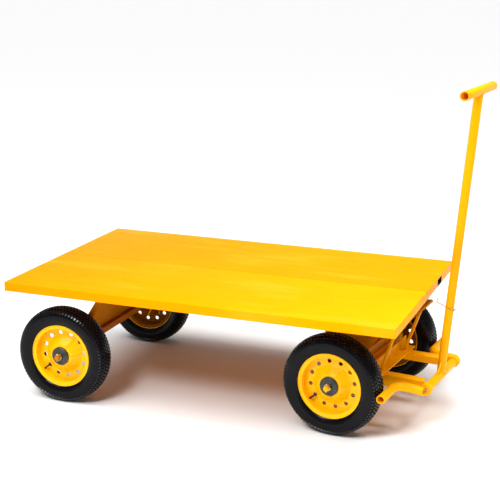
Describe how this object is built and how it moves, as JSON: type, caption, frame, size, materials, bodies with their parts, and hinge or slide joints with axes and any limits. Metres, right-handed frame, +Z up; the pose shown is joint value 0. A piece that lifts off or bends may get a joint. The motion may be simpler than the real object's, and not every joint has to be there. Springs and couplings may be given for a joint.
{
  "type": "platform cart",
  "caption": "Flat-bed platform cart with a turntable-steered front axle, pneumatic wheels and an upright T-handle drawbar.",
  "frame": {"origin": "on the floor under the centre of the whole cart's bounding box", "axes": "+X towards the drawbar, +Y across the cart to its left side, +Z up out of the deck"},
  "size_m": [1.8344, 0.981, 1.3275],
  "materials": {
    "yellow_enamel_deck": "gloss",
    "yellow_enamel_frame": "gloss",
    "yellow_enamel_rim": "gloss",
    "tyre_rubber": "satin",
    "black_rubber": "matte",
    "dark_grey_metal": "satin",
    "bearing_steel": "satin",
    "zinc_steel": "satin",
    "brass": "satin",
    "gold_zinc_wire": "satin"
  },
  "bodies": {
    "deck": {"deck_panel_near": "yellow_enamel_deck", "deck_panel_far": "yellow_enamel_deck", "deck_rails": "yellow_enamel_frame", "deck_cross_members": "yellow_enamel_frame", "stake_socket": "yellow_enamel_frame", "turntable_upper_plate": "yellow_enamel_frame", "kingpin": "bearing_steel", "kingpin_nut": "zinc_steel", "rear_axle": "yellow_enamel_frame", "rear_axle_nuts": "brass", "rear_split_pins": "zinc_steel", "rear_axle_panel": "yellow_enamel_frame", "rear_struts": "yellow_enamel_frame", "tie_wire": "gold_zinc_wire"},
    "bogie": {"turntable_lower_plate": "yellow_enamel_frame", "turntable_balls": "bearing_steel", "bogie_head_frame": "yellow_enamel_frame", "bogie_side_plates": "yellow_enamel_frame", "bogie_lower_bolster": "yellow_enamel_frame", "bogie_upper_bolster": "yellow_enamel_frame", "front_axle": "yellow_enamel_frame", "front_axle_nuts": "brass", "front_split_pins": "zinc_steel", "drawbar_arm_far": "yellow_enamel_frame", "drawbar_arm_near": "yellow_enamel_frame", "cross_angle": "yellow_enamel_frame", "bogie_struts": "yellow_enamel_frame"},
    "drawbar": {"pivot_shaft": "bearing_steel", "pivot_knuckles": "yellow_enamel_frame", "cross_tube": "yellow_enamel_frame", "drawbar_tube": "yellow_enamel_frame", "handle_tube": "yellow_enamel_frame", "drawbar_gussets": "yellow_enamel_frame", "brake_tube_far": "yellow_enamel_frame", "brake_tube_near": "yellow_enamel_frame", "retaining_hook": "gold_zinc_wire"},
    "front_near_wheel": {"front_near_tyre": "tyre_rubber", "front_near_inner_tube": "black_rubber", "front_near_rim": "yellow_enamel_rim", "front_near_hub": "yellow_enamel_rim", "front_near_bearings": "bearing_steel", "front_near_hub_cap": "dark_grey_metal"},
    "front_far_wheel": {"front_far_tyre": "tyre_rubber", "front_far_inner_tube": "black_rubber", "front_far_rim": "yellow_enamel_rim", "front_far_hub": "yellow_enamel_rim", "front_far_bearings": "bearing_steel", "front_far_hub_cap": "dark_grey_metal"},
    "rear_near_wheel": {"rear_near_tyre": "tyre_rubber", "rear_near_inner_tube": "black_rubber", "rear_near_rim": "yellow_enamel_rim", "rear_near_hub": "yellow_enamel_rim", "rear_near_bearings": "bearing_steel", "rear_near_hub_cap": "dark_grey_metal"},
    "rear_far_wheel": {"rear_far_tyre": "tyre_rubber", "rear_far_inner_tube": "black_rubber", "rear_far_rim": "yellow_enamel_rim", "rear_far_hub": "yellow_enamel_rim", "rear_far_bearings": "bearing_steel", "rear_far_hub_cap": "dark_grey_metal"}
  },
  "joints": [
    {"name": "steer", "type": "hinge", "parent": "deck", "child": "bogie", "pos_m": [0.4598, 0, 0.455], "axis": [0, 0, 1], "range_deg": [-21, 33]},
    {"name": "drawbar_tilt", "type": "hinge", "parent": "bogie", "child": "drawbar", "pos_m": [0.78501, -0.03418, 0.1855], "axis": [0.1045, 0.9945, 0], "range_deg": [0, 93]},
    {"name": "front_near_wheel_spin", "type": "hinge", "parent": "bogie", "child": "front_near_wheel", "pos_m": [0.42677, -0.31427, 0.2], "axis": [0.1045, 0.9945, 0], "continuous": true},
    {"name": "front_far_wheel_spin", "type": "hinge", "parent": "bogie", "child": "front_far_wheel", "pos_m": [0.49283, 0.31427, 0.2], "axis": [0.1045, 0.9945, 0], "continuous": true},
    {"name": "rear_near_wheel_spin", "type": "hinge", "parent": "deck", "child": "rear_near_wheel", "pos_m": [-0.7022, -0.396, 0.2], "axis": [0, 1, 0], "continuous": true},
    {"name": "rear_far_wheel_spin", "type": "hinge", "parent": "deck", "child": "rear_far_wheel", "pos_m": [-0.7022, 0.396, 0.2], "axis": [0, 1, 0], "continuous": true}
  ]
}
